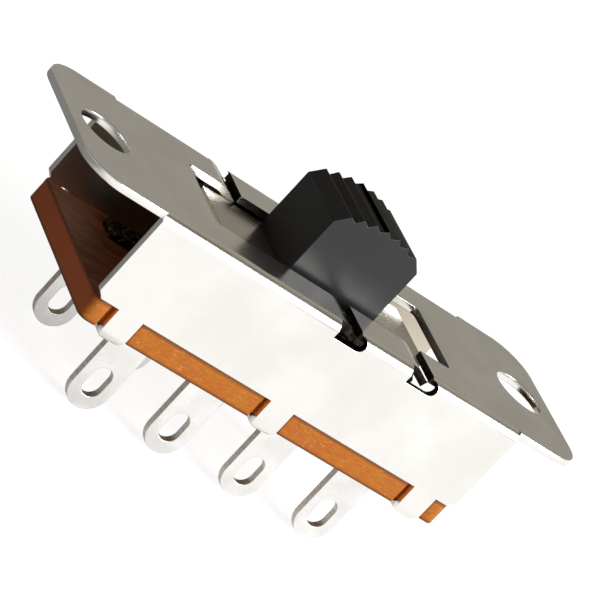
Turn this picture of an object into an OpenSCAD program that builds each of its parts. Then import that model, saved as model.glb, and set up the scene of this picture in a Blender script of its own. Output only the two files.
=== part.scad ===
// Three-position, two-pole slide switch for panel mounting.
// A plated steel frame is folded over a phenolic board that carries eight
// solder terminals. A moulded slider with a ridged thumb piece runs in the
// frame and carries a spring leaf and two sprung contact bridges.
// Origin: midway between the two mounting holes, on the panel face.
// +X runs along the travel, +Z out of the panel face.

/* [Frame plate] */
// Distance between the two mounting holes
hole_spacing = 28.58; // [26:0.01:36]
// Diameter of a mounting hole
hole_d = 2.95; // [2.4:0.05:3.6]
// Length of the plate over both ears
plate_len = 33.3; // [32.4:0.1:42]
// Width of the ears
ear_w = 10.3; // [8:0.1:12]
// Corner radius of the ears
ear_r = 2.1; // [0.4:0.1:2.4]
// Thickness of the frame's sheet steel
sheet_t = 0.4; // [0.3:0.05:0.5]

/* [Frame body] */
// Length of the folded skirts
body_len = 24.1; // [24:0.1:26]
// Width over the folded skirts
body_w = 10.6; // [10.6:0.1:13]
// Outer radius of the fold
fold_r = 0.55; // [0.5:0.05:0.8]
// Depth of the skirts below the plate face
skirt_h = 5.25; // [5.1:0.05:7]
// Width of each crimped tab
tab_w = 1.53; // [1.1:0.01:1.8]
// Distance from the middle tab to the tab on each side, centre to centre
tab_step = 9.97; // [9:0.01:10.2]
// Length of the tab that is folded under the board
tab_fold = 1.5; // [1:0.1:2]
// Chamfer on the lower corners of the skirts
skirt_chamfer = 0.35; // [0.1:0.05:0.8]

/* [Slot and detents] */
// Width of the slot across the travel
slot_w = 5.3; // [4.9:0.1:5.6]
// Corner radius of the slot
slot_r = 0.3; // [0.1:0.05:0.4]
// Gap left between slider and slot end at full travel
slot_end_gap = 0.07; // [0.05:0.01:0.5]
// Pitch of the switch positions and of the terminals
pitch = 5.08; // [4.9:0.01:5.2]
// Shear line of the middle front detent, measured from the slider's middle position
shear_mid = 0.9; // [0.4:0.05:1.1]
// Spacing of the front detents' shear lines
shear_step = 4.95; // [4.5:0.05:5.2]
// Angle that each detent tongue is bent down
tongue_angle = 24; // [12:1:28]
// Radius of the bend at the root of a tongue, on its upper face
tongue_bend_r = 1.6; // [0.8:0.1:2.2]
// Straight length of a tongue past its bend
tongue_flat = 0.75; // [0.4:0.05:0.9]
// Gap between a tongue's free end and the sheared edge of the plate
shear_gap = 0.06; // [0.03:0.01:0.15]
// Height of the round-ended notch along the skirt below each tongue
notch_h = 0.78; // [0.5:0.01:0.84]
// Lower edge of the notch below the plate face
notch_depth = 0.87; // [0.85:0.01:1.1]

/* [Terminal board] */
// Length of the board
board_len = 23.9; // [23:0.1:24.4]
// Thickness of the board
board_t = 1.34; // [1:0.01:2]
// Corner radius of the board
board_r = 0.5; // [0.3:0.1:1]
// Width of the notch that holds a tab in the board's edge
tab_notch_w = 1.97; // [1.9:0.01:2.6]

/* [Terminals] */
// Distance between the two rows of terminals
row_spacing = 6.96; // [6.8:0.01:7.3]
// Thickness of the terminal strip
term_t = 0.45; // [0.25:0.05:0.5]
// Width of a solder lug
lug_w = 2.25; // [1.9:0.05:2.6]
// Length of a solder lug below the board
lug_len = 4.65; // [3.6:0.05:7]
// Width of the eye in a lug
eye_w = 1.12; // [0.7:0.01:1.3]
// Length of the eye in a lug
eye_len = 1.75; // [1.3:0.05:2.4]
// Distance from the lug tip to the centre of its eye
eye_up = 1.65; // [1.3:0.05:2]
// Width of the neck that passes through the board
neck_w = 1.7; // [1.2:0.05:1.9]
// Width of a contact pad along the travel
pad_w = 2.4; // [2:0.05:2.8]
// Reach of a contact pad across the board
pad_reach = 1.6; // [1.3:0.05:1.9]

/* [Slider] */
// Length of the thumb piece along the travel
knob_len = 5.76; // [5:0.02:6.4]
// Width of the thumb piece across the travel
knob_w = 4.4; // [3.8:0.1:4.6]
// Height of the thumb piece above the plate
knob_h = 4.08; // [3.2:0.01:7]
// Radius of the arched top
knob_arch_r = 6.4; // [5:0.1:12]
// Chamfer on both ends of the arched top
knob_chamfer = 0.63; // [0.3:0.01:0.9]
// Spacing of the ridges on the arched top
ridge_pitch = 0.76; // [0.6:0.01:0.8]
// Depth of the grooves between the ridges
groove_depth = 0.27; // [0.1:0.01:0.35]
// Length of the block inside the frame
block_len = 10.8; // [10.2:0.1:11.4]
// Side clearance between the block and the skirts
block_gap = 0.25; // [0.1:0.01:0.4]
// Height of the block's underside above the board
block_lift = 1.35; // [1.2:0.05:1.6]

/* [Spring leaf] */
// Length of the leaf over both tongues
leaf_len = 13.5; // [13.4:0.1:14]
// Thickness of the leaf
leaf_t = 0.22; // [0.15:0.01:0.3]
// Gap on each side between the raised middle and the detent tongues beside it
leaf_rib_gap = 0.05; // [0.05:0.05:0.4]
// Run of the steep sides of the raised middle
leaf_flank = 0.1; // [0.1:0.05:0.3]
// Gap between the plate's underside and the raised middle
leaf_gap = 0.1; // [0.05:0.01:0.3]
// Gap between a bent tongue and the leaf's side rails
rail_gap = 0.08; // [0.05:0.01:0.2]
// Distance from the leaf's side rails to the skirts
rail_side_gap = 0.45; // [0.3:0.01:0.8]

/* [Contact bridges] */
// Width of a contact bridge
bridge_w = 1.2; // [0.8:0.05:1.4]
// Thickness of a contact bridge
bridge_t = 0.22; // [0.15:0.01:0.3]
// Length of a contact bridge
bridge_len = 7.0; // [6.6:0.1:7.4]
// Height of the bridge's middle over its feet
bridge_rise = 0.42; // [0.2:0.01:0.6]
// Gap between the bridge's feet and the pads
contact_gap = 0.03; // [0.01:0.01:0.08]
// Wire diameter of a contact spring
wire_d = 0.2; // [0.12:0.01:0.26]
// Mean diameter of a contact spring
coil_d = 1.0; // [0.7:0.05:1.1]
// Number of turns in a contact spring
coil_turns = 5; // [3:1:6]

/* [Hidden] */
$fn = 48;
eps = 0.01;

steel = "#b9b6ae";
phenolic = "#cc7a35";
silvered = "#e6e3da";
nylon = "#2b2c2c";
bronze = "#b98b4e";

travel = pitch;
slot_len = knob_len + 2 * travel + 2 * slot_end_gap;
half_w = body_w / 2;
fold_in = fold_r - sheet_t;
board_top = -skirt_h;
board_bottom = -skirt_h - board_t;
tab_x = [-tab_step, 0, tab_step];
tab_gap = 0.05;  // leaves room for the inner radius of a tab round the board's edge
tab_lean = (tab_notch_w - tab_w) / 2 - 0.03;  // each tab bears on one side of its notch

// Shear lines of the lanced tongues on the front and rear rails.
front_shears = [shear_mid, shear_mid + shear_step];
rear_shears = [shear_mid - shear_step - 0.4, shear_mid - 0.3];
tongue_run = tongue_bend_r * sin(tongue_angle) + tongue_flat * cos(tongue_angle);
tongue_drop = tongue_bend_r * (1 - cos(tongue_angle)) + tongue_flat * sin(tongue_angle);
tongue_edge = half_w - 0.7 * fold_r;  // outer edge of a tongue across the travel
tongue_low = -(tongue_drop + sheet_t * cos(tongue_angle));
notch_r = notch_h / 2;

row_y = row_spacing / 2;
pad_top = board_top + term_t;
pad_y = row_y + term_t / 2 - pad_reach / 2;
lug_tip = board_bottom - lug_len;
neck_gap = 0.02;

rail_top = tongue_low - rail_gap;
block_top = rail_top - leaf_t;
block_bottom = board_top + block_lift;
block_w = body_w - 2 * sheet_t - 2 * block_gap;
leaf_top = -sheet_t - leaf_gap;
leaf_rib_w = slot_w - 2 * (leaf_rib_gap + leaf_flank);
leaf_hole_gap = 0.04;
pocket_gap = 0.12;
pocket_roof = block_top - 0.75;
bridge_foot = pad_top + contact_gap;
bridge_top = bridge_foot + bridge_rise + bridge_t;

// Cross-section of a channel of outer width w, outer height h, and corner radius r.
module channel_2d(w, h, r) {
  translate([-w / 2 + r, -h]) square([w - 2 * r, h]);
  translate([-w / 2, -h]) square([w, h - r]);
  for (s = [-1, 1]) translate([s * (w / 2 - r), -r]) circle(r);
}

// Runs a section drawn in Y and Z along X, centred.
module along_x(len) {
  rotate([90, 0, 90]) translate([0, 0, -len / 2]) linear_extrude(len) children();
}

// Runs an outline drawn in X and Z along Y, centred.
module along_y(len) {
  rotate([90, 0, 0]) translate([0, 0, -len / 2]) linear_extrude(len) children();
}

module rounded_2d(len, w, r) {
  square([len - 2 * r, w], center = true);
  square([len, w - 2 * r], center = true);
  for (x = [-1, 1], y = [-1, 1])
    translate([x * (len / 2 - r), y * (w / 2 - r)]) circle(r);
}

// Folded channel: the plate between the folds and both skirts, as bent sheet.
module channel(len) {
  along_x(len) difference() {
    channel_2d(body_w, skirt_h, fold_r);
    translate([0, -sheet_t])
      channel_2d(body_w - 2 * sheet_t, skirt_h, fold_in);
  }
}

// Flat ears beyond the ends of the folds.
module ears() {
  translate([0, 0, -sheet_t]) linear_extrude(sheet_t) difference() {
    rounded_2d(plate_len, ear_w, ear_r);
    square([body_len - 2 * eps, body_w], center = true);
  }
}

// One crimped tab on the front skirt, round-cornered and folded under the board.
module tab() {
  drop = board_bottom - tab_gap - sheet_t;
  bend = fold_r;
  intersection() {
    translate([0, -half_w, 0]) rotate([90, 0, 90])
      translate([0, 0, -tab_w / 2]) linear_extrude(tab_w) difference() {
        union() {
          translate([0, drop + bend]) square([sheet_t, -skirt_h - drop - bend + eps]);
          translate([bend, drop]) square([tab_fold - bend, sheet_t]);
          intersection() {
            translate([bend, drop + bend]) circle(bend);
            translate([0, drop]) square([bend, bend]);
          }
        }
        translate([bend, drop + bend]) circle(bend - sheet_t);
      }
    union() {
      translate([-tab_w / 2, -half_w - 1, drop + tab_w * 0.38])
        cube([tab_w, tab_fold + 2, skirt_h + board_t]);
      translate([0, -half_w + tab_fold / 2, drop + tab_w * 0.38]) along_y(tab_fold + 2)
        intersection() {
          square([tab_w, 4], center = true);
          union() {
            for (s = [-1, 1]) translate([s * tab_w * 0.12, 0]) circle(tab_w * 0.38);
            translate([-tab_w * 0.12, -tab_w * 0.38]) square([tab_w * 0.24, tab_w]);
          }
        }
    }
  }
}

// Opening of one detent whose shear line is at x = 0 on the front rail: the
// rail is cut away over the tongue, and a round-ended notch runs along the skirt.
module detent_cut() {
  root = -tongue_run - shear_gap;
  translate([root, -half_w - eps, -sheet_t - eps])
    cube([-root, half_w - slot_w / 2 + 2 * eps, 1]);
  translate([0, -half_w + sheet_t / 2, -notch_depth + notch_r]) along_y(sheet_t + 0.1) {
    translate([0.1, 0]) circle(notch_r);
    translate([root + 0.05, -notch_r]) square([-root - eps - 0.05, 2 * notch_r + 0.4]);
    translate([root + 0.05, -notch_r]) square([0.05 - root, 2 * notch_r]);
  }
}

// Side view of a tongue: bent down from its root, then straight to its free end.
module tongue_2d() {
  far = 1.3 * tongue_bend_r;
  translate([-tongue_run - shear_gap, -tongue_bend_r]) {
    intersection() {
      difference() { circle(tongue_bend_r); circle(tongue_bend_r - sheet_t); }
      polygon([[0, 0], [0, far], [far * sin(tongue_angle), far * cos(tongue_angle)]]);
    }
    rotate(-tongue_angle) translate([0, tongue_bend_r - sheet_t]) square([tongue_flat, sheet_t]);
  }
}

module detent_tongue() {
  translate([0, -(tongue_edge + slot_w / 2) / 2, 0])
    along_y(tongue_edge - slot_w / 2) tongue_2d();
}

module each_detent() {
  for (x = front_shears) children_at(x, 0) children();
  for (x = rear_shears) children_at(x, 1) children();
}

module children_at(x, m) { mirror([0, m, 0]) translate([x, 0, 0]) children(); }

module frame() {
  color(steel) {
    difference() {
      union() {
        channel(body_len);
        ears();
      }
      translate([0, 0, -2 * sheet_t]) linear_extrude(4 * sheet_t)
        rounded_2d(slot_len, slot_w, slot_r);
      for (s = [-1, 1]) translate([s * hole_spacing / 2, 0, -2 * sheet_t])
        cylinder(d = hole_d, h = 4 * sheet_t);
      each_detent() detent_cut();
      for (s = [-1, 1]) translate([s * body_len / 2, 0, -skirt_h])
        rotate([0, 45, 0])
          cube([skirt_chamfer * sqrt(2), body_w + 1, skirt_chamfer * sqrt(2)], center = true);
    }
    each_detent() detent_tongue();
    for (x = tab_x, m = [0, 1]) mirror([0, m, 0]) translate([x + tab_lean, 0, 0]) tab();
  }
}

module terminal_board() {
  color(phenolic) difference() {
    translate([0, 0, board_bottom]) linear_extrude(board_t)
      rounded_2d(board_len, body_w, board_r);
    for (x = tab_x, s = [-1, 1])
      translate([x, s * (half_w - sheet_t - tab_gap + 1), board_bottom + board_t / 2])
        cube([tab_notch_w, 2, board_t + 2], center = true);
    for (i = [0:3], s = [-1, 1])
      translate([terminal_x(i), s * row_y, board_bottom + board_t / 2])
        cube([neck_w + 2 * neck_gap, term_t + 2 * neck_gap, board_t + 1], center = true);
  }
}

function terminal_x(i) = (i - 1.5) * pitch;

// Terminal i of a row, row s = -1 at the front and 1 at the rear: a lug with an
// eye, a neck through the board, and a pad folded flat on the board inside.
module terminal(i, s) {
  color(silvered) translate([terminal_x(i), s * row_y, 0]) mirror([0, (1 - s) / 2, 0]) {
    along_y(term_t) difference() {
      union() {
        translate([-neck_w / 2, board_bottom - eps]) square([neck_w, board_t + eps + 0.02]);
        translate([0, lug_tip + lug_w / 2]) circle(lug_w / 2);
        translate([-lug_w / 2, lug_tip + lug_w / 2]) square([lug_w, lug_len - lug_w / 2]);
      }
      translate([0, lug_tip + eye_up]) {
        for (e = [-1, 1]) translate([0, e * (eye_len - eye_w) / 2]) circle(eye_w / 2);
        square([eye_w, eye_len - eye_w], center = true);
      }
    }
    translate([0, term_t / 2 - pad_reach / 2, board_top]) linear_extrude(term_t)
      rounded_2d(pad_w, pad_reach, 0.3);
  }
}

// Thumb piece seen from the front: an arched, ridged top with chamfered ends.
module knob_2d() {
  corner = knob_arch_r - sqrt(pow(knob_arch_r, 2) - pow(knob_len / 2 - knob_chamfer, 2));
  difference() {
    intersection() {
      translate([0, knob_h - knob_arch_r]) circle(knob_arch_r, $fn = 96);
      translate([-knob_len / 2, block_top - eps]) square([knob_len, knob_h - block_top + 1]);
      polygon([[-knob_len / 2, block_top - 1], [knob_len / 2, block_top - 1],
               [knob_len / 2, knob_h - corner - knob_chamfer],
               [knob_len / 2 - knob_chamfer - 1, knob_h - corner + 1],
               [-knob_len / 2 + knob_chamfer + 1, knob_h - corner + 1],
               [-knob_len / 2, knob_h - corner - knob_chamfer]]);
    }
    for (i = [-2.5:1:2.5])
      translate([0, knob_h - knob_arch_r])
        rotate(-i * ridge_pitch / knob_arch_r * 180 / PI)
          translate([0, knob_arch_r])
            polygon([[-ridge_pitch / 2 - 0.02, 0.02], [-ridge_pitch * 0.1, -groove_depth],
                     [ridge_pitch / 2 + 0.02, 0.02], [0, 0.4]]);
  }
}

module slider() {
  color(nylon) difference() {
    union() {
      along_y(knob_w) knob_2d();
      translate([-block_len / 2, -block_w / 2, block_bottom])
        cube([block_len, block_w, block_top - block_bottom]);
      // rib that fills the raised middle of the leaf
      translate([-block_len / 2, -leaf_rib_w / 2 + leaf_t + 0.1, block_top - eps])
        cube([block_len, leaf_rib_w - 2 * leaf_t - 0.2, leaf_top - leaf_t - block_top - 0.03]);
    }
    for (s = [-1, 1]) translate([0, s * pad_y, 0]) {
      translate([-bridge_len / 2 - pocket_gap, -bridge_w / 2 - pocket_gap, block_bottom - 1])
        cube([bridge_len + 2 * pocket_gap, bridge_w + 2 * pocket_gap, pocket_roof - block_bottom + 1]);
    }
  }
}

// Hat-shaped leaf: low side rails under the detents and a raised middle that
// closes the slot, cut to side rails and two tongues, with a hole for the knob.
module spring_leaf() {
  flank = leaf_flank;
  fold_back = leaf_t * tan(atan2(leaf_top - rail_top, flank) / 2);
  rail_y = half_w - sheet_t - rail_side_gap;
  rib_y = leaf_rib_w / 2;
  wide_x = block_len / 2;
  taper = 0.9;
  color(steel) difference() {
    intersection() {
      along_x(leaf_len) polygon([
        [-rail_y, rail_top], [-rib_y - flank, rail_top], [-rib_y, leaf_top],
        [rib_y, leaf_top], [rib_y + flank, rail_top], [rail_y, rail_top],
        [rail_y, rail_top - leaf_t], [rib_y + flank - fold_back, rail_top - leaf_t],
        [rib_y - fold_back, leaf_top - leaf_t], [-rib_y + fold_back, leaf_top - leaf_t],
        [-rib_y - flank + fold_back, rail_top - leaf_t], [-rail_y, rail_top - leaf_t]]);
      translate([0, 0, rail_top - 1]) linear_extrude(3) {
        rounded_2d(leaf_len, 2 * (rib_y + flank), 0.4);
        square([2 * wide_x, 2 * rail_y], center = true);
        polygon([[-wide_x - taper, -rib_y - flank], [-wide_x, -rail_y], [wide_x, -rail_y],
                 [wide_x + taper, -rib_y - flank], [wide_x + taper, rib_y + flank],
                 [wide_x, rail_y], [-wide_x, rail_y], [-wide_x - taper, rib_y + flank]]);
      }
    }
    cube([knob_len + 2 * leaf_hole_gap, knob_w + 2 * leaf_hole_gap, 8], center = true);
  }
}

// Height of a bridge's underside at x: feet over the pads, ends turned up.
function bridge_z(x) = bridge_foot + bridge_rise * (1 + cos(360 * x / pitch)) / 2;

module bridge(s) {
  steps = 28;
  xs = [for (i = [0:steps]) -bridge_len / 2 + i * bridge_len / steps];
  color(bronze) translate([0, s * pad_y, 0]) along_y(bridge_w)
    polygon(concat([for (x = xs) [x, bridge_z(x)]],
                   [for (i = [steps:-1:0]) [xs[i], bridge_z(xs[i]) + bridge_t]]));
}

// Helical contact spring between a bridge and the roof of its pocket.
module contact_spring(s) {
  low = bridge_top + wire_d / 2 + 0.02;
  rise = pocket_roof - wire_d / 2 - 0.02 - low;
  sides = 8;
  rings = 14 * coil_turns;
  pts = [for (k = [0:rings], j = [0:sides - 1])
    let (a = 360 * coil_turns * k / rings, t = 360 * j / sides,
         r = coil_d / 2 + wire_d / 2 * cos(t))
    [r * cos(a), r * sin(a), low + rise * k / rings + wire_d / 2 * sin(t)]];
  walls = [for (k = [0:rings - 1], j = [0:sides - 1])
    let (a = k * sides + j, b = k * sides + (j + 1) % sides)
    [a, a + sides, b + sides, b]];
  color(steel) translate([0, s * pad_y, 0])
    polyhedron(pts, concat(walls, [[for (j = [0:sides - 1]) j],
      [for (j = [sides - 1:-1:0]) rings * sides + j]]));
}

module terminal_front_1() terminal(0, -1);
module terminal_front_2() terminal(1, -1);
module terminal_front_3() terminal(2, -1);
module terminal_front_4() terminal(3, -1);
module terminal_rear_1() terminal(0, 1);
module terminal_rear_2() terminal(1, 1);
module terminal_rear_3() terminal(2, 1);
module terminal_rear_4() terminal(3, 1);
module bridge_front() bridge(-1);
module bridge_rear() bridge(1);
module contact_spring_front() contact_spring(-1);
module contact_spring_rear() contact_spring(1);

frame();
terminal_board();
terminal_front_1();
terminal_front_2();
terminal_front_3();
terminal_front_4();
terminal_rear_1();
terminal_rear_2();
terminal_rear_3();
terminal_rear_4();
slider();
spring_leaf();
bridge_front();
bridge_rear();
contact_spring_front();
contact_spring_rear();
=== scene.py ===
"""Looks of a panel-mounted slide switch: plated steel frame, phenolic terminal
board, eight solder lugs and a black ridged slider. Lengths are in metres, and
MM turns the millimetres of a drawing into them."""
import math

import bmesh
import bpy
from mathutils import Matrix, Vector


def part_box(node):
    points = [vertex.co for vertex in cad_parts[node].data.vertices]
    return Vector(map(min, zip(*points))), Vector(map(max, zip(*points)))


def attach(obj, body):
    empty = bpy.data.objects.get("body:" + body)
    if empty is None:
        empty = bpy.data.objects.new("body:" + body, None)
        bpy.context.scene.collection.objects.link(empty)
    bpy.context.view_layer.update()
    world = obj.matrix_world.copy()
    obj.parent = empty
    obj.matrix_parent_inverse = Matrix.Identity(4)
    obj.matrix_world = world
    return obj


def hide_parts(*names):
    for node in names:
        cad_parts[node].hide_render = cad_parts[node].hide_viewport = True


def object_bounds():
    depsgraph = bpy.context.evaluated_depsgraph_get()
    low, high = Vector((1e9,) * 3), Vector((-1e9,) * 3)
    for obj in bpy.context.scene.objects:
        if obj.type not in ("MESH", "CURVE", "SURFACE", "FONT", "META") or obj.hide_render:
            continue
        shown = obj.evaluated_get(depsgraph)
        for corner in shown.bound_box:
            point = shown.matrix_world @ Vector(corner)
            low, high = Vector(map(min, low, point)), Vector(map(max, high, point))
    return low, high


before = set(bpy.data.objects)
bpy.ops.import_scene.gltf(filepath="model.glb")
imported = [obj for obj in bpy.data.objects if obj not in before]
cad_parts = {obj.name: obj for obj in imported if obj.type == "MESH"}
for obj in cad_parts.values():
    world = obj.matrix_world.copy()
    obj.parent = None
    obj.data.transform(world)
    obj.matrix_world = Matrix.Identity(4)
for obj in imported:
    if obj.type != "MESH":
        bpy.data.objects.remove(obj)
CAD_LOW, CAD_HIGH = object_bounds()

bl_info = {
    "name": "Slide Switch",
    "version": (1, 0, 0),
    "blender": (4, 5, 0),
    "location": "3D View > Sidebar > Slide Switch",
    "description": "Finishes the pieces of a panel-mounted slide switch",
    "category": "Add Mesh",
}

MM = 0.001
FIXED = "housing"
MOVING = "slider_assembly"
SHEET = 0.4 * MM         # thickness of the frame's steel
FOLD_RADIUS = 0.55 * MM  # outer radius of the fold between plate and skirt
HALF_WIDTH = 5.3 * MM    # half of the width over the folded skirts
BODY_HALF = 12.05 * MM   # half of the skirts' length
HOLE_X = 14.29 * MM      # a mounting hole's distance from the middle
LUG_X = [i * 5.08 * MM for i in (-1.5, -0.5, 0.5, 1.5)]
EYE_Z = CAD_LOW.z + 1.65 * MM
BOARD_LOW, BOARD_TOP = (corner.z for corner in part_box("terminal_board"))
TERMINALS = sorted(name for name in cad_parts
                   if name.startswith("terminal_") and name != "terminal_board")

TOUCHING = 0.0005 * MM    # points nearer than this are one point
FLAT_TURN = math.radians(0.4)  # two faces that turn by less are one flat face
SHARP_TURN = math.radians(32)  # an edge that turns by more gets rounded
ROUNDING_STEPS = 2


# ---------------------------------------------------------------- helpers

def linear(hex_colour):
    """sRGB hex colour to the linear RGBA that Blender's sockets take."""
    parts = [int(hex_colour[i:i + 2], 16) / 255 for i in (0, 2, 4)]
    parts = [c / 12.92 if c <= 0.04045 else ((c + 0.055) / 1.055) ** 2.4 for c in parts]
    return (*parts, 1.0)


def add(tree, kind, inputs=None, **settings):
    """Adds a node to a tree, with its settings, and its inputs as values or links.

    A node given as an input stands for the first output that its settings turn on.
    Inputs by number: Map Range takes the value at 0, its range at 1 and 2 and the
    new range at 3 and 4. Mix takes the factor at 0, then two numbers at 2 and 3 or
    two colours at 6 and 7."""
    node = tree.nodes.new(kind)
    for name, value in settings.items():
        setattr(node, name, value)
    for socket, value in (inputs or {}).items():
        if isinstance(value, bpy.types.Node):
            value = next(output for output in value.outputs if output.enabled)
        if isinstance(value, bpy.types.NodeSocket):
            tree.links.new(value, node.inputs[socket])
        else:
            node.inputs[socket].default_value = value
    return node


def start_material(name):
    """A new material, its empty tree and the object's own coordinates."""
    material = bpy.data.materials.new(name)
    material.use_nodes = True
    tree = material.node_tree
    tree.nodes.clear()
    return material, tree, add(tree, "ShaderNodeTexCoord").outputs["Object"]


def rgba(colour):
    """A colour property as the RGBA that a socket takes."""
    return (*colour, 1.0)


def in_scene(name, data):
    """A new object in the scene."""
    obj = bpy.data.objects.new(name, data)
    bpy.context.scene.collection.objects.link(obj)
    return obj


# ---------------------------------------------------------------- materials

def plated_steel(look):
    """Bright nickel plate on cold-rolled steel strip, blanked and folded.

    The rolled faces are a soft mirror with faint lengthwise rolling lines. Plate
    covers the blanked edges too. Inside the channel it is rougher, and its colour there
    is darker and browner as painted shade. The detents' sheared walls are coloured
    near-black with torn streaks and are rougher, and the slot's two end walls are
    coloured much darker as painted shade."""
    material, tree, place = start_material("bright_plated_steel")
    cloud_size, line_width, tear_width = 3.5 * MM, 0.09 * MM, 0.12 * MM
    cut = add(tree, "ShaderNodeAttribute", attribute_name="cut_edge").outputs["Fac"]
    cloud = add(tree, "ShaderNodeTexNoise",
                {"Vector": place, "Scale": 1 / cloud_size, "Detail": 3.0})
    # rolling lines are forty times as long as wide, and the shear's tears run downwards
    along = add(tree, "ShaderNodeMapping", {"Vector": place, "Scale": (1 / 40, 1, 1)})
    rolling = add(tree, "ShaderNodeTexNoise",
                  {"Vector": along, "Scale": 1 / line_width, "Detail": 2.0})
    upright = add(tree, "ShaderNodeMapping", {"Vector": place, "Scale": (1, 1, 1 / 6)})
    tearing = add(tree, "ShaderNodeTexNoise",
                  {"Vector": upright, "Scale": 1 / tear_width, "Detail": 3.0})

    # the channel's inner faces, below the plate and within the skirts: rougher, and with painted
    # shade
    spot = add(tree, "ShaderNodeSeparateXYZ", {0: place}).outputs
    out = add(tree, "ShaderNodeMath", {0: spot["Y"]}, operation="ABSOLUTE")
    deep, shallow = SHEET - 0.02 * MM, SHEET - 0.06 * MM
    within = add(tree, "ShaderNodeMapRange",
                 {0: out, 1: HALF_WIDTH - deep, 2: HALF_WIDTH - shallow, 3: 1, 4: 0})
    below = add(tree, "ShaderNodeMapRange", {0: spot["Z"], 1: -deep, 2: -shallow, 3: 1, 4: 0})
    inside = add(tree, "ShaderNodeMath", {0: within, 1: below}, operation="MULTIPLY")

    worn = add(tree, "ShaderNodeMapRange", {0: cloud, 1: 0.35, 2: 0.7})
    face = add(tree, "ShaderNodeMix",
               {0: worn, 6: rgba(look.plate_shade), 7: rgba(look.plate_colour)}, data_type="RGBA")
    # painted shade: the channel's inner faces are coloured darker and browner
    face = add(tree, "ShaderNodeMix", {0: inside, 6: face, 7: linear("d3cabb")}, data_type="RGBA")
    # the detents' sheared walls are coloured near-black with torn streaks; on the slot's end
    # walls, at 0.7, this is painted shade
    torn = add(tree, "ShaderNodeMapRange", {0: tearing, 1: 0.35, 2: 0.65})
    dark_walls = add(tree, "ShaderNodeMix", {0: torn, 6: linear("1a1712"), 7: linear("35302a")},
               data_type="RGBA")
    colour = add(tree, "ShaderNodeMix", {0: cut, 6: face, 7: dark_walls}, data_type="RGBA")

    smooth = add(tree, "ShaderNodeMapRange", {
        0: cloud, 1: 0.3, 2: 0.7, 3: look.plate_roughness * 0.8, 4: look.plate_roughness * 1.3})
    smooth = add(tree, "ShaderNodeMath", {0: inside, 1: 0.14, 2: smooth}, operation="MULTIPLY_ADD")
    rough = add(tree, "ShaderNodeMix", {0: cut, 2: smooth, 3: 0.42})
    height = add(tree, "ShaderNodeMix", {0: cut, 2: rolling, 3: tearing})
    bump = add(tree, "ShaderNodeBump",
               {"Strength": 0.10, "Distance": 0.004 * MM, "Height": height})
    shader = add(tree, "ShaderNodeBsdfPrincipled",
                 {"Base Color": colour, "Metallic": 1.0, "Roughness": rough, "Normal": bump})
    add(tree, "ShaderNodeOutputMaterial", {"Surface": shader})
    return material


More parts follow.
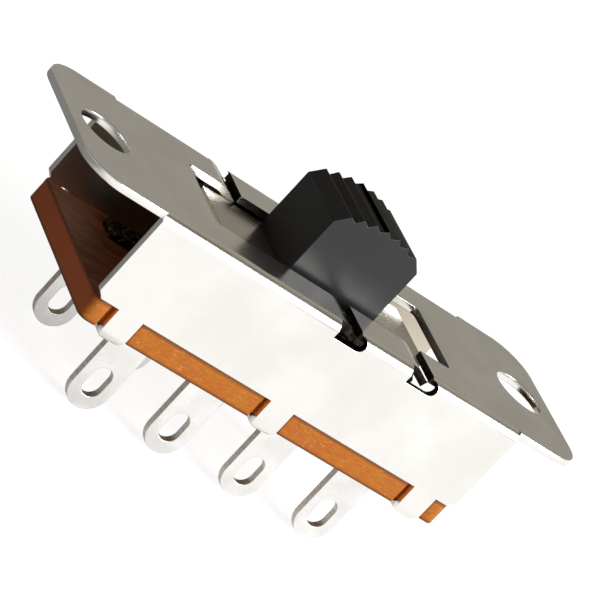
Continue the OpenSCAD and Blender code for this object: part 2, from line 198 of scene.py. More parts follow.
def phenolic_laminate(look):
    """Paper-filled phenolic board, pressed in layers and punched.

    The punched edges show warm orange-brown paper, mottled, with pale specks that are
    partly fibre ends and partly painted glints, and darker rims along the top and bottom
    that are partly a resin skin and partly painted shade. They are redder at the ends,
    where the paper is cut across its grain. The pressed faces are darker, with brown streaks."""
    material, tree, place = start_material("punched_phenolic_laminate")
    layer, fibre, patch_size, streak = 0.12 * MM, 0.16 * MM, 0.7 * MM, 0.5 * MM
    # layers lie flat, fibres are a little matted down, streaks run along the board
    flatwise = add(tree, "ShaderNodeMapping", {"Vector": place, "Scale": (1 / 4, 1 / 4, 1)})
    layers = add(tree, "ShaderNodeTexNoise",
                 {"Vector": flatwise, "Scale": 1 / layer, "Detail": 3.0})
    matted = add(tree, "ShaderNodeMapping",
                 {"Vector": place, "Scale": (1 / 1.6, 1 / 1.6, 1 / 0.8)})
    fibres = add(tree, "ShaderNodeTexNoise",
                 {"Vector": matted, "Scale": 1 / fibre, "Detail": 2.0})
    patches = add(tree, "ShaderNodeTexNoise",
                  {"Vector": place, "Scale": 1 / patch_size, "Detail": 3.0})
    lengthwise = add(tree, "ShaderNodeMapping", {"Vector": place, "Scale": (1 / 3, 1, 1)})
    streaks = add(tree, "ShaderNodeTexNoise",
                  {"Vector": lengthwise, "Scale": 1 / streak, "Detail": 3.0})

    # how far a face is an end of the board, or one of its two pressed faces
    normal = add(tree, "ShaderNodeNewGeometry").outputs["Normal"]
    facing = add(tree, "ShaderNodeSeparateXYZ", {0: normal}).outputs
    ends, flat = (add(tree, "ShaderNodeMapRange", {
        0: add(tree, "ShaderNodeMath", {0: facing[axis]}, operation="ABSOLUTE"),
        1: 0.6, 2: 0.9}) for axis in "XZ")

    paper = add(tree, "ShaderNodeMapRange", {0: layers, 1: 0.35, 2: 0.7})
    edge = add(tree, "ShaderNodeMix",
               {0: paper, 6: rgba(look.board_dark), 7: rgba(look.board_colour)},
               data_type="RGBA")
    mottle = add(tree, "ShaderNodeMapRange", {0: patches, 1: 0.4, 2: 0.7, 3: 0, 4: 0.6})
    edge = add(tree, "ShaderNodeMix", {0: mottle, 6: edge, 7: linear("cf682c")}, data_type="RGBA")
    # pale specks: partly fibre ends, partly painted glints
    tips_and_glints = add(tree, "ShaderNodeMapRange", {0: fibres, 1: 0.63, 2: 0.72, 3: 0, 4: 0.75})
    edge = add(tree, "ShaderNodeMix", {0: tips_and_glints, 6: edge, 7: linear("e9a564")}, data_type="RGBA")
    redder = add(tree, "ShaderNodeMath", {0: ends, 1: 0.85}, operation="MULTIPLY")
    edge = add(tree, "ShaderNodeMix", {0: redder, 6: edge, 7: linear("d0622a")}, data_type="RGBA")

    height = add(tree, "ShaderNodeSeparateXYZ", {0: place}).outputs["Z"]
    # darker rims along the top and bottom of the punched edges: partly the resin-rich skin, partly
    # painted shade along the edges
    rim_from, rim_to = 0.05 * MM, 0.22 * MM
    low_skin_and_shade = add(tree, "ShaderNodeMapRange",
                  {0: height, 1: BOARD_LOW + rim_from, 2: BOARD_LOW + rim_to, 3: 1, 4: 0})
    top_skin_and_shade = add(tree, "ShaderNodeMapRange",
                  {0: height, 1: BOARD_TOP - rim_to, 2: BOARD_TOP - rim_from})
    rim = add(tree, "ShaderNodeMath", {0: low_skin_and_shade, 1: top_skin_and_shade}, operation="MAXIMUM")
    edge = add(tree, "ShaderNodeMix", {0: rim, 6: edge, 7: linear("7a4117")}, data_type="RGBA")

    grain = add(tree, "ShaderNodeMapRange", {0: streaks, 1: 0.35, 2: 0.7})
    face = add(tree, "ShaderNodeMix", {0: grain, 6: linear("8a4724"), 7: linear("bd7040")},
               data_type="RGBA")
    colour = add(tree, "ShaderNodeMix", {0: flat, 6: edge, 7: face}, data_type="RGBA")
    rough = add(tree, "ShaderNodeMapRange", {0: fibres, 1: 0.3, 2: 0.7, 3: 0.38, 4: 0.55})
    bump = add(tree, "ShaderNodeBump",
               {"Strength": 0.35, "Distance": 0.01 * MM, "Height": fibres})
    shader = add(tree, "ShaderNodeBsdfPrincipled", {
        "Base Color": colour, "Roughness": rough, "Specular IOR Level": 0.3, "Normal": bump})
    add(tree, "ShaderNodeOutputMaterial", {"Surface": shader})
    return material


def silvered_brass(look):
    """Brass strip, silver plated before it was blanked: white rolled faces, greyer cut edges.

    Above the board the pads are coloured near-black, with bright specks."""
    material, tree, place = start_material("silver_plated_brass")
    cloud_size, tear_width, speck = 1.2 * MM, 0.1 * MM, 0.22 * MM
    cut = add(tree, "ShaderNodeAttribute", attribute_name="cut_edge").outputs["Fac"]
    cloud = add(tree, "ShaderNodeTexNoise",
                {"Vector": place, "Scale": 1 / cloud_size, "Detail": 3.0})
    across = add(tree, "ShaderNodeMapping", {"Vector": place, "Scale": (1, 1 / 5, 1)})
    tearing = add(tree, "ShaderNodeTexNoise",
                  {"Vector": across, "Scale": 1 / tear_width, "Detail": 2.0})
    spots = add(tree, "ShaderNodeTexNoise", {"Vector": place, "Scale": 1 / speck, "Detail": 2.0})

    worn = add(tree, "ShaderNodeMapRange", {0: cloud, 1: 0.35, 2: 0.7})
    face = add(tree, "ShaderNodeMix",
               {0: worn, 6: linear("efedea"), 7: rgba(look.lug_colour)}, data_type="RGBA")
    torn = add(tree, "ShaderNodeMapRange", {0: tearing, 1: 0.35, 2: 0.65})
    edge = add(tree, "ShaderNodeMix", {0: torn, 6: linear("b4aea4"), 7: linear("d2ccc2")},
               data_type="RGBA")
    greyer = add(tree, "ShaderNodeMath", {0: cut, 1: 0.9}, operation="MULTIPLY")
    clean = add(tree, "ShaderNodeMix", {0: greyer, 6: face, 7: edge}, data_type="RGBA")

    height = add(tree, "ShaderNodeSeparateXYZ", {0: place}).outputs["Z"]
    # above the board the pads are coloured near-black, with bright specks left clear
    inside = add(tree, "ShaderNodeMapRange",
                 {0: height, 1: BOARD_TOP - 0.1 * MM, 2: BOARD_TOP})
    spotted = add(tree, "ShaderNodeMapRange", {0: spots, 1: 0.58, 2: 0.66, 3: 0.97, 4: 0})
    near_black = add(tree, "ShaderNodeMath", {0: inside, 1: spotted}, operation="MULTIPLY")
    colour = add(tree, "ShaderNodeMix", {0: near_black, 6: clean, 7: linear("1c140d")},
                 data_type="RGBA")
    smooth = add(tree, "ShaderNodeMapRange", {0: cloud, 1: 0.3, 2: 0.7, 3: 0.18, 4: 0.3})
    rough = add(tree, "ShaderNodeMix", {0: cut, 2: smooth, 3: 0.55})
    bump = add(tree, "ShaderNodeBump",
               {"Strength": 0.12, "Distance": 0.006 * MM, "Height": cloud})
    shader = add(tree, "ShaderNodeBsdfPrincipled",
                 {"Base Color": colour, "Metallic": 1.0, "Roughness": rough, "Normal": bump})
    add(tree, "ShaderNodeOutputMaterial", {"Surface": shader})
    return material


def moulded_nylon(look):
    """Black glass-filled nylon, injection moulded: satin with a fine mould grain."""
    material, tree, place = start_material("black_moulded_nylon")
    grain_size, flow_size = 0.09 * MM, 1.8 * MM
    grain = add(tree, "ShaderNodeTexNoise",
                {"Vector": place, "Scale": 1 / grain_size, "Detail": 3.0})
    upright = add(tree, "ShaderNodeMapping", {"Vector": place, "Scale": (1, 1, 1 / 1.6)})
    flow = add(tree, "ShaderNodeTexNoise",
               {"Vector": upright, "Scale": 1 / flow_size, "Detail": 2.0})
    marks = add(tree, "ShaderNodeMapRange", {0: flow, 1: 0.35, 2: 0.7})
    colour = add(tree, "ShaderNodeMix",
                 {0: marks, 6: rgba(look.knob_colour), 7: rgba(look.knob_light)},
                 data_type="RGBA")
    rough = add(tree, "ShaderNodeMapRange", {
        0: flow, 1: 0.3, 2: 0.7, 3: look.knob_roughness * 0.85, 4: look.knob_roughness * 1.2})
    bump = add(tree, "ShaderNodeBump",
               {"Strength": 0.18, "Distance": 0.006 * MM, "Height": grain})
    shader = add(tree, "ShaderNodeBsdfPrincipled",
                 {"Base Color": colour, "Roughness": rough, "Normal": bump})
    add(tree, "ShaderNodeOutputMaterial", {"Surface": shader})
    return material


def spring_strip():
    """Plated spring steel strip, rolled hard: a soft mirror with lengthwise lines.

    The wings that slide under the frame are coloured near-black."""
    material, tree, place = start_material("plated_spring_strip")
    line_width, cloud_size = 0.08 * MM, 2 * MM
    # lines thirty times as long as wide
    along = add(tree, "ShaderNodeMapping", {"Vector": place, "Scale": (1 / 30, 1, 1)})
    rolling = add(tree, "ShaderNodeTexNoise",
                  {"Vector": along, "Scale": 1 / line_width, "Detail": 2.0})
    cloud = add(tree, "ShaderNodeTexNoise",
                {"Vector": place, "Scale": 1 / cloud_size, "Detail": 2.0})
    across = add(tree, "ShaderNodeSeparateXYZ", {0: place}).outputs["Y"]
    out = add(tree, "ShaderNodeMath", {0: across}, operation="ABSOLUTE")
    clean = add(tree, "ShaderNodeMix", {0: cloud, 6: linear("cdc6ba"), 7: linear("e6e0d6")},
                data_type="RGBA")
    # the wings, about 3 mm or more out from the middle, are coloured near-black
    near_black = add(tree, "ShaderNodeMapRange", {0: out, 1: 2.9 * MM, 2: 3.1 * MM, 3: 0, 4: 0.95})
    colour = add(tree, "ShaderNodeMix", {0: near_black, 6: clean, 7: linear("1f1a13")},
                 data_type="RGBA")
    rough = add(tree, "ShaderNodeMapRange", {0: rolling, 1: 0.3, 2: 0.7, 3: 0.18, 4: 0.28})
    bump = add(tree, "ShaderNodeBump",
               {"Strength": 0.1, "Distance": 0.004 * MM, "Height": rolling})
    shader = add(tree, "ShaderNodeBsdfPrincipled",
                 {"Base Color": colour, "Metallic": 1.0, "Roughness": rough, "Normal": bump})
    add(tree, "ShaderNodeOutputMaterial", {"Surface": shader})
    return material


def phosphor_bronze():
    """Rolled phosphor bronze, bare: warm metal with a light brown tarnish."""
    material, tree, place = start_material("rolled_phosphor_bronze")
    tarnish = add(tree, "ShaderNodeTexNoise",
                  {"Vector": place, "Scale": 1 / (0.5 * MM), "Detail": 3.0})
    clear = add(tree, "ShaderNodeMapRange", {0: tarnish, 1: 0.35, 2: 0.7})
    colour = add(tree, "ShaderNodeMix", {0: clear, 6: linear("9a6436"), 7: linear("dba468")},
                 data_type="RGBA")
    rough = add(tree, "ShaderNodeMapRange", {0: tarnish, 1: 0.3, 2: 0.7, 3: 0.24, 4: 0.4})
    shader = add(tree, "ShaderNodeBsdfPrincipled",
                 {"Base Color": colour, "Metallic": 1.0, "Roughness": rough})
    add(tree, "ShaderNodeOutputMaterial", {"Surface": shader})
    return material


def drawn_wire():
    """Drawn music wire: grey steel with fine lines left by the die."""
    material, tree, place = start_material("drawn_spring_wire")
    die = add(tree, "ShaderNodeTexNoise",
              {"Vector": place, "Scale": 1 / (0.05 * MM), "Detail": 2.0})
    colour = add(tree, "ShaderNodeMix", {0: die, 6: linear("7d7c79"), 7: linear("b4b2ad")},
                 data_type="RGBA")
    rough = add(tree, "ShaderNodeMapRange", {0: die, 1: 0.3, 2: 0.7, 3: 0.25, 4: 0.38})
    shader = add(tree, "ShaderNodeBsdfPrincipled",
                 {"Base Color": colour, "Metallic": 1.0, "Roughness": rough})
    add(tree, "ShaderNodeOutputMaterial", {"Surface": shader})
    return material


# ---------------------------------------------------------------- meshes

def merged_copy(nodes, planes=(), smallest=TOUCHING):
    """The solids of some CAD nodes as one mesh of whole faces instead of loose triangles.

    A face with a hole in it needs a seam from the hole to its rim. The planes, each
    a point and a direction, pass through the holes and say where those seams run.
    An edge shorter than smallest becomes a point, so that its neighbours can be rounded."""
    bm = bmesh.new()
    for name in nodes:
        bm.from_mesh(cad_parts[name].data)
    bmesh.ops.remove_doubles(bm, verts=bm.verts, dist=TOUCHING)
    for point, direction in planes:
        bmesh.ops.bisect_plane(bm, geom=[*bm.verts, *bm.edges, *bm.faces], dist=0.0002 * MM,
                               plane_co=point, plane_no=direction)

    def on_seam(edge):
        return any(all(abs((v.co - Vector(point)).dot(Vector(direction))) < 0.001 * MM
                       for v in edge.verts) for point, direction in planes)

    loose = [edge for edge in bm.edges if not on_seam(edge)]
    bmesh.ops.dissolve_limit(bm, angle_limit=FLAT_TURN, verts=bm.verts, edges=loose)
    bmesh.ops.remove_doubles(bm, verts=bm.verts, dist=smallest)
    return bm


def mark_cut_edges(bm, value_of_face):
    """Writes on each face the value that the given function gives it: 1 on the faces that a tool
    sheared, 0 on the rolled or plated ones, and 0.7 on the frame's slot end walls as painted
    shade.
    """
    layer = bm.faces.layers.float.new("cut_edge")
    for face in bm.faces:
        face[layer] = float(value_of_face(face.normal, face.calc_center_median()))


def piece_from(bm, name, material, edge_radius, left_sharp=None):
    """Turns a bmesh into a finished object with rounded edges and no live modifier.

    Sharp edges are rounded, unless left_sharp says that one with its middle there
    stays a hard edge."""
    weight = bm.edges.layers.float.new("bevel_weight_edge")
    for edge in bm.edges:
        middle = (edge.verts[0].co + edge.verts[1].co) / 2
        turns = edge.calc_face_angle(0) > SHARP_TURN
        hard = bool(turns and left_sharp and left_sharp(middle))
        edge[weight] = float(turns and not hard)
        edge.smooth = not hard
    mesh = bpy.data.meshes.new(name)
    bm.to_mesh(mesh)
    bm.free()
    mesh.shade_smooth()
    obj = in_scene(name, mesh)
    bevel = obj.modifiers.new("rounded edges", "BEVEL")
    bevel.width = edge_radius
    bevel.segments = ROUNDING_STEPS
    bevel.limit_method = "WEIGHT"
    bevel.use_clamp_overlap = False
    bevel.loop_slide = False
    even = obj.modifiers.new("flat faces stay flat", "WEIGHTED_NORMAL")
    even.weight = 80
    even.keep_sharp = True
    return baked(obj, material)


def grown(name, tree, values):
    """Makes an object from a Geometry Nodes tree and turns the result into a plain mesh."""
    obj = in_scene(name, bpy.data.meshes.new(name))
    modifier = obj.modifiers.new(name, "NODES")
    modifier.node_group = tree
    sockets = {item.name: item.identifier for item in tree.interface.items_tree
               if item.in_out == "INPUT"}
    for key, value in values.items():
        modifier[sockets[key]] = value
    return baked(obj, values["Finish"])


def baked(obj, material):
    """Replaces an object's mesh and modifiers by the plain mesh that they make."""
    depsgraph = bpy.context.evaluated_depsgraph_get()
    result = bpy.data.meshes.new_from_object(obj.evaluated_get(depsgraph))
    obj.modifiers.clear()
    obj.data = result
    result.name = obj.name
    result.materials.clear()
    result.materials.append(material)
    return obj


def finish(obj, body, nodes):
    """Hangs a piece on its body and lets it stand for its CAD nodes."""
    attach(obj, body)
    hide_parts(*nodes)


def new_tree(name, inputs, output):
    """A Geometry Nodes tree with named inputs and one output, and its input node's sockets."""
    tree = bpy.data.node_groups.new(name, "GeometryNodeTree")
    for label, kind in inputs:
        tree.interface.new_socket(label, in_out="INPUT", socket_type="NodeSocket" + kind)
    tree.interface.new_socket(output, in_out="OUTPUT", socket_type="NodeSocketGeometry")
    return tree, add(tree, "NodeGroupInput").outputs


# ---------------------------------------------------------------- settings

def colour_setting(name, description, hex_colour):
    """A colour that the user can change, from its sRGB hex default."""
    return bpy.props.FloatVectorProperty(
        name=name, description=description, subtype="COLOR", size=3, min=0, max=1,
        default=linear(hex_colour)[:3])


def length_setting(name, description, metres):
    """A length that the user can change."""
    return bpy.props.FloatProperty(
        name=name, description=description, default=metres, unit="LENGTH")


class SlideSwitchSettings(bpy.types.PropertyGroup):
    """Sizes and colours of the switch's finish."""
    frame_edge: length_setting(
        "Frame edge", "Rounding of the blanked sheet's edges", 0.025 * MM)
    plate_colour: colour_setting("Plate colour", "Bright plate on the frame", "f9f8f5")
    plate_shade: colour_setting("Plate shade", "Duller patches of the plate", "f3f1ec")
    plate_roughness: bpy.props.FloatProperty(
        name="Plate roughness", description="Roughness of the rolled faces",
        default=0.22, min=0, max=1)
    board_edge: length_setting(
        "Board edge", "Rounding of the board's punched edges", 0.07 * MM)
    board_colour: colour_setting(
        "Board colour", "Punched edge of the phenolic board", "dd8a28")
    board_dark: colour_setting("Board layers", "Darker layers of the board's edge", "c8741e")
    lug_edge: length_setting("Lug edge", "Rounding of the lugs' edges", 0.04 * MM)
    lug_colour: colour_setting("Lug colour", "Silver plate on the lugs", "f8f7f5")
    lug_count: bpy.props.IntProperty(
        name="Lugs in a row", description="Number of solder lugs on each side",
        default=4, min=2)
    knob_edge: length_setting(
        "Knob edge", "Rounding of the slider's moulded edges", 0.045 * MM)
    knob_colour: colour_setting("Slider colour", "Black moulded nylon", "101213")
    knob_light: colour_setting("Slider flow marks", "Slightly lighter nylon", "17191a")
    knob_roughness: bpy.props.FloatProperty(
        name="Slider roughness", description="Roughness of the moulded surface",
        default=0.42, min=0, max=1)
    leaf_edge: length_setting("Leaf edge", "Rounding of the spring leaf's edges", 0.025 * MM)
    bridge_edge: length_setting(
        "Bridge edge", "Rounding of the contact bridges' edges", 0.03 * MM)
    wire: length_setting("Spring wire", "Diameter of the contact springs' wire", 0.2 * MM)
    turns: bpy.props.IntProperty(
        name="Spring turns", description="Turns of a contact spring, with its closed ends",
        default=6, min=3)
    table_size: length_setting("Table size", "Width of the pale table top", 6.0)
    key_power: bpy.props.FloatProperty(
        name="Main light", description="Power of the large soft light, in watts",
        default=4.3, min=0)


# ---------------------------------------------------------------- operators

class SLIDESWITCH_OT_frame(bpy.types.Operator):
    """Finish the folded steel frame with rounded blanked edges and bright plate"""
    bl_idname = "slide_switch.frame"
    bl_label = "Frame"

    def execute(self, context):
        look = context.scene.slide_switch
        middles = [((x * HOLE_X, 0, 0), (1, 0, 0)) for x in (-1, 0, 1)]
        bm = merged_copy(["frame"], middles)
        mark_cut_edges(bm, self.darkened_walls)
        obj = piece_from(bm, "folded_frame", plated_steel(look), look.frame_edge,
                         left_sharp=self.at_fold)
        finish(obj, FIXED, ["frame"])
        return {"FINISHED"}

    @staticmethod
    def at_fold(middle):
        """Edges in the folds, where rounding would run over the fold's own facets."""
        reach = FOLD_RADIUS + 0.05 * MM
        return (abs(middle.y) > HALF_WIDTH - reach and middle.z > -reach
                and abs(middle.x) < BODY_HALF + 0.1 * MM)

    @staticmethod
    def darkened_walls(normal, centre):
        """How dark a face is coloured. The detents lie between the slot and the folds, clear of
        the skirts' ends.

        In the strip their sheared walls are coloured near-black, and the slot's two end walls
        are coloured at 0.7 as painted shade. In the fold and below it everything is, except the
        skins of the folded sheet."""
        detents_end, notch_foot, slot_side = 9 * MM, -1.7 * MM, 2.9 * MM
        out, fold = abs(centre.y), HALF_WIDTH - FOLD_RADIUS
        if abs(centre.x) > detents_end or centre.z < notch_foot:
            return False
        if out < slot_side:
            return 0.7 * (abs(normal.x) > 0.5)
        if out < fold:
            return centre.z > -0.95 * MM and abs(normal.z) < 0.35
        if centre.z > -FOLD_RADIUS:
            skin = 0.04 * MM
            radius = math.hypot(out - fold, centre.z + FOLD_RADIUS)
            return FOLD_RADIUS - SHEET + skin < radius < FOLD_RADIUS - skin
        skin = 0.02 * MM
        return HALF_WIDTH - SHEET + skin < out < HALF_WIDTH - skin


class SLIDESWITCH_OT_board(bpy.types.Operator):
    """Finish the phenolic terminal board"""
    bl_idname = "slide_switch.board"
    bl_label = "Terminal board"

    def execute(self, context):
        look = context.scene.slide_switch
        bm = merged_copy(["terminal_board"], [((x, 0, 0), (1, 0, 0)) for x in LUG_X])
        obj = piece_from(bm, "phenolic_board", phenolic_laminate(look), look.board_edge)
        finish(obj, FIXED, ["terminal_board"])
        return {"FINISHED"}


class SLIDESWITCH_OT_lugs(bpy.types.Operator):
    """Lay out both rows of silver-plated solder lugs"""
    bl_idname = "slide_switch.lugs"
    bl_label = "Solder lugs"

    def execute(self, context):
        look = context.scene.slide_switch
        bm = merged_copy(["terminal_front_1"], [((0, 0, EYE_Z), (0, 0, 1))])
        mark_cut_edges(bm, lambda normal, centre: abs(normal.y) < 0.5)
        first = piece_from(bm, "first_lug", silvered_brass(look), look.lug_edge)
        low_first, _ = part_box("terminal_front_1")
        low_last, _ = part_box(f"terminal_front_{look.lug_count}")
        pitch = (low_last.x - low_first.x) / (look.lug_count - 1)
        rows = grown("solder_lugs", self.rows(), {
            "Lug": first, "Count": look.lug_count, "Pitch": (pitch, 0, 0),
            "Finish": first.data.materials[0]})
        bpy.data.objects.remove(first)
        finish(rows, FIXED, TERMINALS)
        return {"FINISHED"}

    def rows(self):
        """Two rows from one lug: a line of copies, and the same line turned half round."""
        tree, given = new_tree("lug rows", (
            ("Lug", "Object"), ("Count", "Int"), ("Pitch", "Vector"), ("Finish", "Material")),
            "Lugs")
        lug = add(tree, "GeometryNodeObjectInfo", {"Object": given["Lug"]})
        line = add(tree, "GeometryNodeMeshLine",
                   {"Count": given["Count"], "Offset": given["Pitch"]})
        row = add(tree, "GeometryNodeInstanceOnPoints",
                  {"Points": line, "Instance": lug.outputs["Geometry"]})
        turned = add(tree, "GeometryNodeTransform",
                     {"Geometry": row, "Rotation": (0, 0, math.pi)})
        both = add(tree, "GeometryNodeJoinGeometry", {0: row})
        tree.links.new(turned.outputs[0], both.inputs[0])
        real = add(tree, "GeometryNodeRealizeInstances", {0: both})
        ready = add(tree, "GeometryNodeSetMaterial",
                    {"Geometry": real, "Material": given["Finish"]})
        add(tree, "NodeGroupOutput", {0: ready})
        return tree


class SLIDESWITCH_OT_slider(bpy.types.Operator):
    """Finish the black moulded slider with its ridged thumb piece"""
    bl_idname = "slide_switch.slider"
    bl_label = "Slider"

    def execute(self, context):
        look = context.scene.slide_switch
        crest = 0.05 * MM  # the ridges' narrow flat crests become edges
        bm = merged_copy(["slider"], [((0, 0, 0), (1, 0, 0))], smallest=crest)
        obj = piece_from(bm, "ridged_slider", moulded_nylon(look), look.knob_edge)
        finish(obj, MOVING, ["slider"])
        return {"FINISHED"}


class SLIDESWITCH_OT_contacts(bpy.types.Operator):
    """Finish the spring leaf, both contact bridges and both contact springs"""
    bl_idname = "slide_switch.contacts"
    bl_label = "Leaf and contacts"

    def execute(self, context):
        look = context.scene.slide_switch
        bm = merged_copy(["spring_leaf"], [((0, 0, 0), (1, 0, 0))])
        leaf = piece_from(bm, "detent_leaf", spring_strip(), look.leaf_edge)
        finish(leaf, MOVING, ["spring_leaf"])
        bronze = phosphor_bronze()
        for side in ("front", "rear"):
            bm = merged_copy([f"bridge_{side}"])
            bridge = piece_from(bm, f"contact_bridge_{side}", bronze, look.bridge_edge)
            finish(bridge, MOVING, [f"bridge_{side}"])
        wire = drawn_wire()
        tree = self.coil()
        for side in ("front", "rear"):
            node = f"contact_spring_{side}"
            low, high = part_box(node)
            coil = grown(f"coil_{side}", tree, {
                "Wire": look.wire, "Mean": (high.x - low.x - look.wire), "Turns": look.turns,
                "Foot": ((low.x + high.x) / 2, (low.y + high.y) / 2, low.z),
                "Height": high.z - low.z, "Finish": wire})
            finish(coil, MOVING, [node])
        return {"FINISHED"}

    def coil(self):
        """A compression spring: wire swept along a helix whose first and last turn lie closed."""
        tree, given = new_tree("contact spring", (
            ("Wire", "Float"), ("Mean", "Float"), ("Turns", "Int"), ("Foot", "Vector"),
            ("Height", "Float"), ("Finish", "Material")), "Spring")
        per_turn, around_wire = 24, 12

        # each row names its result and says how it is worked out from those before it
        got = {label: given[label] for label in ("Wire", "Mean", "Turns", "Height")}
        got["point"] = add(tree, "GeometryNodeInputIndex")
        for result, operation, *terms in (
                ("points", "MULTIPLY_ADD", "Turns", per_turn, 1),
                ("turn", "DIVIDE", "point", per_turn),
                ("angle", "MULTIPLY", "turn", math.tau),
                ("radius", "DIVIDE", "Mean", 2),
                ("open turns", "SUBTRACT", "Turns", 2),
                ("opened", "SUBTRACT", "turn", 1),
                ("opened", "DIVIDE", "opened", "open turns"),
                ("opened", "MAXIMUM", "opened", 0),
                ("opened", "MINIMUM", "opened", 1),
                ("first turn", "MINIMUM", "turn", 1),
                ("before last", "SUBTRACT", "Turns", 1),
                ("last turn", "SUBTRACT", "turn", "before last"),
                ("last turn", "MAXIMUM", "last turn", 0),
                ("closed", "ADD", "first turn", "last turn"),
                ("closed", "MULTIPLY", "closed", "Wire"),
                ("stacked", "MULTIPLY", "Wire", 3),
                ("stretch", "SUBTRACT", "Height", "stacked"),
                ("climb", "MULTIPLY", "opened", "stretch"),
                ("rise", "ADD", "closed", "climb"),
                ("half wire", "DIVIDE", "Wire", 2),
                ("rise", "ADD", "rise", "half wire"),
                ("cosine", "COSINE", "angle"),
                ("x", "MULTIPLY", "radius", "cosine"),
                ("sine", "SINE", "angle"),
                ("y", "MULTIPLY", "radius", "sine")):
            got[result] = add(tree, "ShaderNodeMath",
                              {i: got.get(term, term) for i, term in enumerate(terms)},
                              operation=operation)

        line = add(tree, "GeometryNodeMeshLine", {"Count": got["points"]})
        spot = add(tree, "ShaderNodeCombineXYZ", {0: got["x"], 1: got["y"], 2: got["rise"]})
        spot = add(tree, "ShaderNodeVectorMath", {0: spot, 1: given["Foot"]}, operation="ADD")
        helix = add(tree, "GeometryNodeSetPosition", {"Geometry": line, "Position": spot})
        path = add(tree, "GeometryNodeMeshToCurve", {0: helix})
        round_wire = add(tree, "GeometryNodeCurvePrimitiveCircle",
                         {"Resolution": around_wire, "Radius": got["half wire"]})
        swept = add(tree, "GeometryNodeCurveToMesh",
                    {"Curve": path, "Profile Curve": round_wire, "Fill Caps": True})
        soft = add(tree, "GeometryNodeSetShadeSmooth", {"Geometry": swept})
        real = add(tree, "GeometryNodeRealizeInstances", {0: soft})
        ready = add(tree, "GeometryNodeSetMaterial",
                    {"Geometry": real, "Material": given["Finish"]})
        add(tree, "NodeGroupOutput", {0: ready})
        return tree


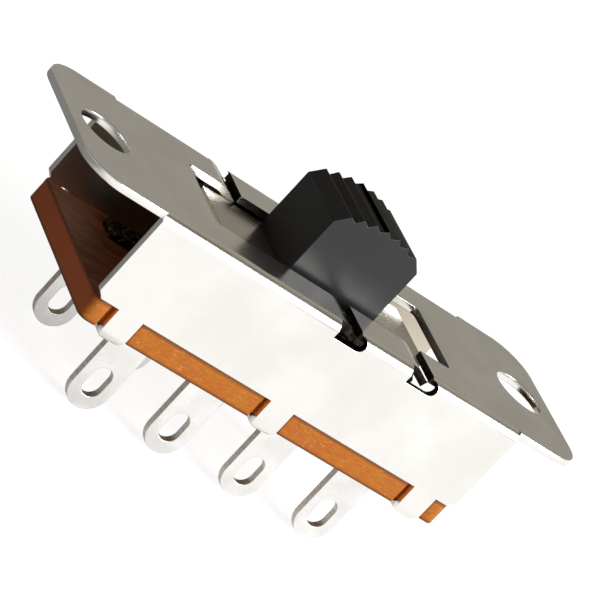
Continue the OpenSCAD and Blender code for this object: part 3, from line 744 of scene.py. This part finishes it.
class SLIDESWITCH_OT_stage(bpy.types.Operator):
    """Set the pale table, the room, the soft light and the camera"""
    bl_idname = "slide_switch.stage"
    bl_label = "Stage"

    def execute(self, context):
        look = context.scene.slide_switch
        self.table(look)
        self.room(context)
        self.light(look)
        self.camera(context)
        context.scene.view_settings.view_transform = "Standard"
        return {"FINISHED"}

    def table(self, look):
        """A white table top. Seen directly it is white, less the object's shadow. In metal it
        glows with painted light, pale in front and to the right and dim to the left, less the
        object's shadow.
        """
        bm = bmesh.new()
        bmesh.ops.create_circle(bm, cap_ends=True, segments=96, radius=look.table_size / 2)
        bmesh.ops.translate(bm, verts=bm.verts, vec=(0, 0, CAD_LOW.z))
        mesh = bpy.data.meshes.new("table_top")
        bm.to_mesh(mesh)
        bm.free()
        table = in_scene("table_top", mesh)
        material, tree, place = start_material("matt_white_card")
        fleck = add(tree, "ShaderNodeTexNoise",
                    {"Vector": place, "Scale": 1 / (4 * MM), "Detail": 2.0})
        colour = add(tree, "ShaderNodeMix",
                     {0: fleck, 6: linear("a8a7a5"), 7: linear("acabaa")}, data_type="RGBA")
        matt = add(tree, "ShaderNodeBsdfDiffuse", {"Color": colour})

        # painted light: for glossy rays the card glows pale in front and to the right, and dim to
        # the left
        rays = add(tree, "ShaderNodeLightPath").outputs
        rightward = add(tree, "ShaderNodeVectorMath", {0: place, 1: (0.70, -0.71, 0)},
                        operation="DOT_PRODUCT")
        painted_lit = add(tree, "ShaderNodeMapRange",
                  {0: rightward, 1: -25 * MM, 2: 8 * MM, 3: 0.05, 4: 0.9})
        in_metal = add(tree, "ShaderNodeMath", {0: rays["Is Glossy Ray"], 1: painted_lit},
                       operation="MULTIPLY")
        seen = add(tree, "ShaderNodeMath",
                   {0: rays["Is Camera Ray"], 1: rays["Is Transmission Ray"]},
                   operation="MAXIMUM")
        seen = add(tree, "ShaderNodeMath", {0: seen, 1: in_metal}, operation="MAXIMUM")

        # the lamp lights the card only near the switch, so its own glow grows further out
        away = add(tree, "ShaderNodeVectorMath", {0: place}, operation="LENGTH")
        full = add(tree, "ShaderNodeMapRange",
                   {0: away, 1: 150 * MM, 2: 400 * MM, 3: 0.87, 4: 1.0})
        strength = add(tree, "ShaderNodeMath", {0: seen, 1: full}, operation="MULTIPLY")
        glow = add(tree, "ShaderNodeEmission",
                   {"Color": linear("ffffff"), "Strength": strength})
        both = add(tree, "ShaderNodeAddShader", {0: matt, 1: glow})
        add(tree, "ShaderNodeOutputMaterial", {"Surface": both})
        mesh.materials.append(material)

    def room(self, context):
        """A dim grey room: pale where it meets the table, grey above, darker overhead
        and to the left. Metal never sees it quite dark, and the camera sees it white."""
        world = bpy.data.worlds.new("dim_studio")
        world.use_nodes = True
        tree = world.node_tree
        tree.nodes.clear()
        ray = add(tree, "ShaderNodeTexCoord").outputs["Generated"]
        height = add(tree, "ShaderNodeSeparateXYZ", {0: ray}).outputs["Z"]
        side = add(tree, "ShaderNodeVectorMath", {0: ray, 1: (0.75, 0.66, 0)},
                   operation="DOT_PRODUCT")
        colour = {}
        for part, low, high, dark, pale in (("wall", -0.3, 0.75, "2a2928", "938f86"),
                                            ("ceiling", 0.2, 0.6, "302f2d", "a39b8e")):
            turned = add(tree, "ShaderNodeMapRange", {0: side, 1: low, 2: high})
            colour[part] = add(tree, "ShaderNodeMix",
                               {0: turned, 6: linear(dark), 7: linear(pale)}, data_type="RGBA")
        overhead = add(tree, "ShaderNodeMapRange", {0: height, 1: 0.35, 2: 0.7})
        upper = add(tree, "ShaderNodeMix",
                    {0: overhead, 6: colour["wall"], 7: colour["ceiling"]}, data_type="RGBA")
        horizon = add(tree, "ShaderNodeMapRange", {0: height, 1: 0.03, 2: 0.14, 3: 1, 4: 0})
        shown = add(tree, "ShaderNodeMix", {0: horizon, 6: upper, 7: linear("f4f3f1")},
                    data_type="RGBA")
        rays = add(tree, "ShaderNodeLightPath").outputs
        shown = add(tree, "ShaderNodeMix",
                    {0: rays["Is Glossy Ray"], 6: shown, 7: linear("625f5a")},
                    data_type="RGBA", blend_type="LIGHTEN")
        shown = add(tree, "ShaderNodeMix",
                    {0: rays["Is Camera Ray"], 6: shown, 7: linear("ffffff")}, data_type="RGBA")
        back = add(tree, "ShaderNodeBackground", {"Color": shown, "Strength": 1.0})
        add(tree, "ShaderNodeOutputWorld", {"Surface": back})
        context.scene.world = world

    def light(self, look):
        """One broad soft light, in front and to the right, turned to the switch."""
        data = bpy.data.lights.new("front_softbox", "AREA")
        data.shape = "RECTANGLE"
        data.size, data.size_y = 0.56, 0.42
        data.energy = look.key_power
        lamp = in_scene("front_softbox", data)
        lamp.location = (0.34, -0.44, 0.26)
        lamp.rotation_mode = "QUATERNION"
        lamp.rotation_quaternion = (-lamp.location).to_track_quat("-Z", "Y")

    def camera(self, context):
        """A long lens from the front left, a little above, rolled to set the switch aslant."""
        azimuth, elevation, roll = (math.radians(a) for a in (-35.692, 15.810, 43.009))
        target, distance = Vector((-0.009, -0.577, -1.801)) * MM, 189.9 * MM
        data = bpy.data.cameras.new("camera")
        data.sensor_width = 36
        data.lens = 234.95
        data.clip_start, data.clip_end = 0.01, 10
        back = Vector((math.sin(azimuth) * math.cos(elevation),
                       -math.cos(azimuth) * math.cos(elevation), math.sin(elevation)))
        turn = (-back).to_track_quat("-Z", "Y").to_matrix() @ Matrix.Rotation(roll, 3, "Z")
        camera = in_scene("camera", data)
        camera.rotation_mode = "QUATERNION"
        camera.rotation_quaternion = turn.to_quaternion()
        camera.location = target + back * distance
        context.scene.camera = camera


OPERATORS = (SLIDESWITCH_OT_frame, SLIDESWITCH_OT_board, SLIDESWITCH_OT_lugs,
             SLIDESWITCH_OT_slider, SLIDESWITCH_OT_contacts, SLIDESWITCH_OT_stage)


class SLIDESWITCH_PT_panel(bpy.types.Panel):
    """Lists the switch's pieces in the sidebar"""
    bl_idname = "SLIDESWITCH_PT_panel"
    bl_label = "Slide Switch"
    bl_space_type = "VIEW_3D"
    bl_region_type = "UI"
    bl_category = "Slide Switch"

    def draw(self, context):
        for operator in OPERATORS:
            self.layout.operator(operator.bl_idname)


CLASSES = (SlideSwitchSettings, *OPERATORS, SLIDESWITCH_PT_panel)


def register():
    for cls in CLASSES:
        bpy.utils.register_class(cls)
    bpy.types.Scene.slide_switch = bpy.props.PointerProperty(type=SlideSwitchSettings)


def unregister():
    del bpy.types.Scene.slide_switch
    for cls in reversed(CLASSES):
        bpy.utils.unregister_class(cls)


def main():
    register()
    bpy.ops.slide_switch.stage()
    bpy.ops.slide_switch.frame()
    bpy.ops.slide_switch.board()
    bpy.ops.slide_switch.lugs()
    bpy.ops.slide_switch.slider()
    bpy.ops.slide_switch.contacts()


if __name__ == "__main__":
    main()
